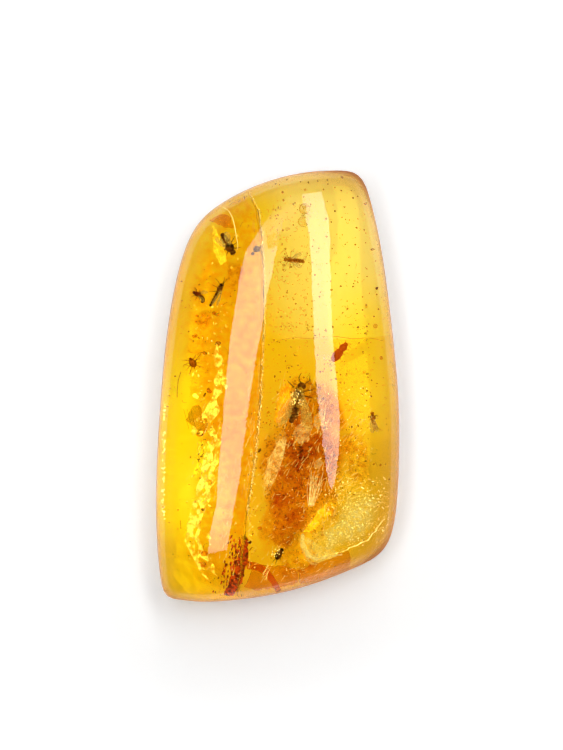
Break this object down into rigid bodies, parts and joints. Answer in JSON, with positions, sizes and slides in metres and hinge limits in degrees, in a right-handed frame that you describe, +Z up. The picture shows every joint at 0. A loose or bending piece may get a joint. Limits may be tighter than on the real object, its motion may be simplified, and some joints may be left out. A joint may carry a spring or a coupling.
{
  "type": "insect in amber",
  "caption": "Polished piece of amber, flat underneath and domed on top, with small insects and plant debris sealed inside.",
  "frame": {"origin": "middle of the flat base, on the surface it rests on", "axes": "+Z up out of the dome; +Y along the stone towards its narrow end; +X to the right, seen from above"},
  "size_m": [0.0226, 0.04, 0.009],
  "materials": {
    "amber": "polished, clear golden amber",
    "insect_dark": "dark brown insect cuticle",
    "insect_brown": "brown insect cuticle",
    "beetle_rust": "red-brown wing cases",
    "debris": "rotted wood and dirt in resin",
    "plant_flake": "thin brown plant scale",
    "wing_membrane": "pale, ribbed wing skin and fibre",
    "bark_red": "dark red bark"
  },
  "bodies": {
    "root": {"amber_lower": "amber", "amber_upper": "amber", "fly": "insect_dark", "gnat": "insect_dark", "curled_gnat": "insect_brown", "midge": "insect_brown", "beetle": "beetle_rust", "mite": "insect_brown", "small_fly": "insect_brown", "winged_ant": "insect_dark", "bud_scale": "plant_flake", "shed_wing": "wing_membrane", "fibre_tuft": "wing_membrane", "debris_clump": "debris", "bark_sliver": "bark_red", "springtail": "insect_dark"}
  },
  "joints": []
}
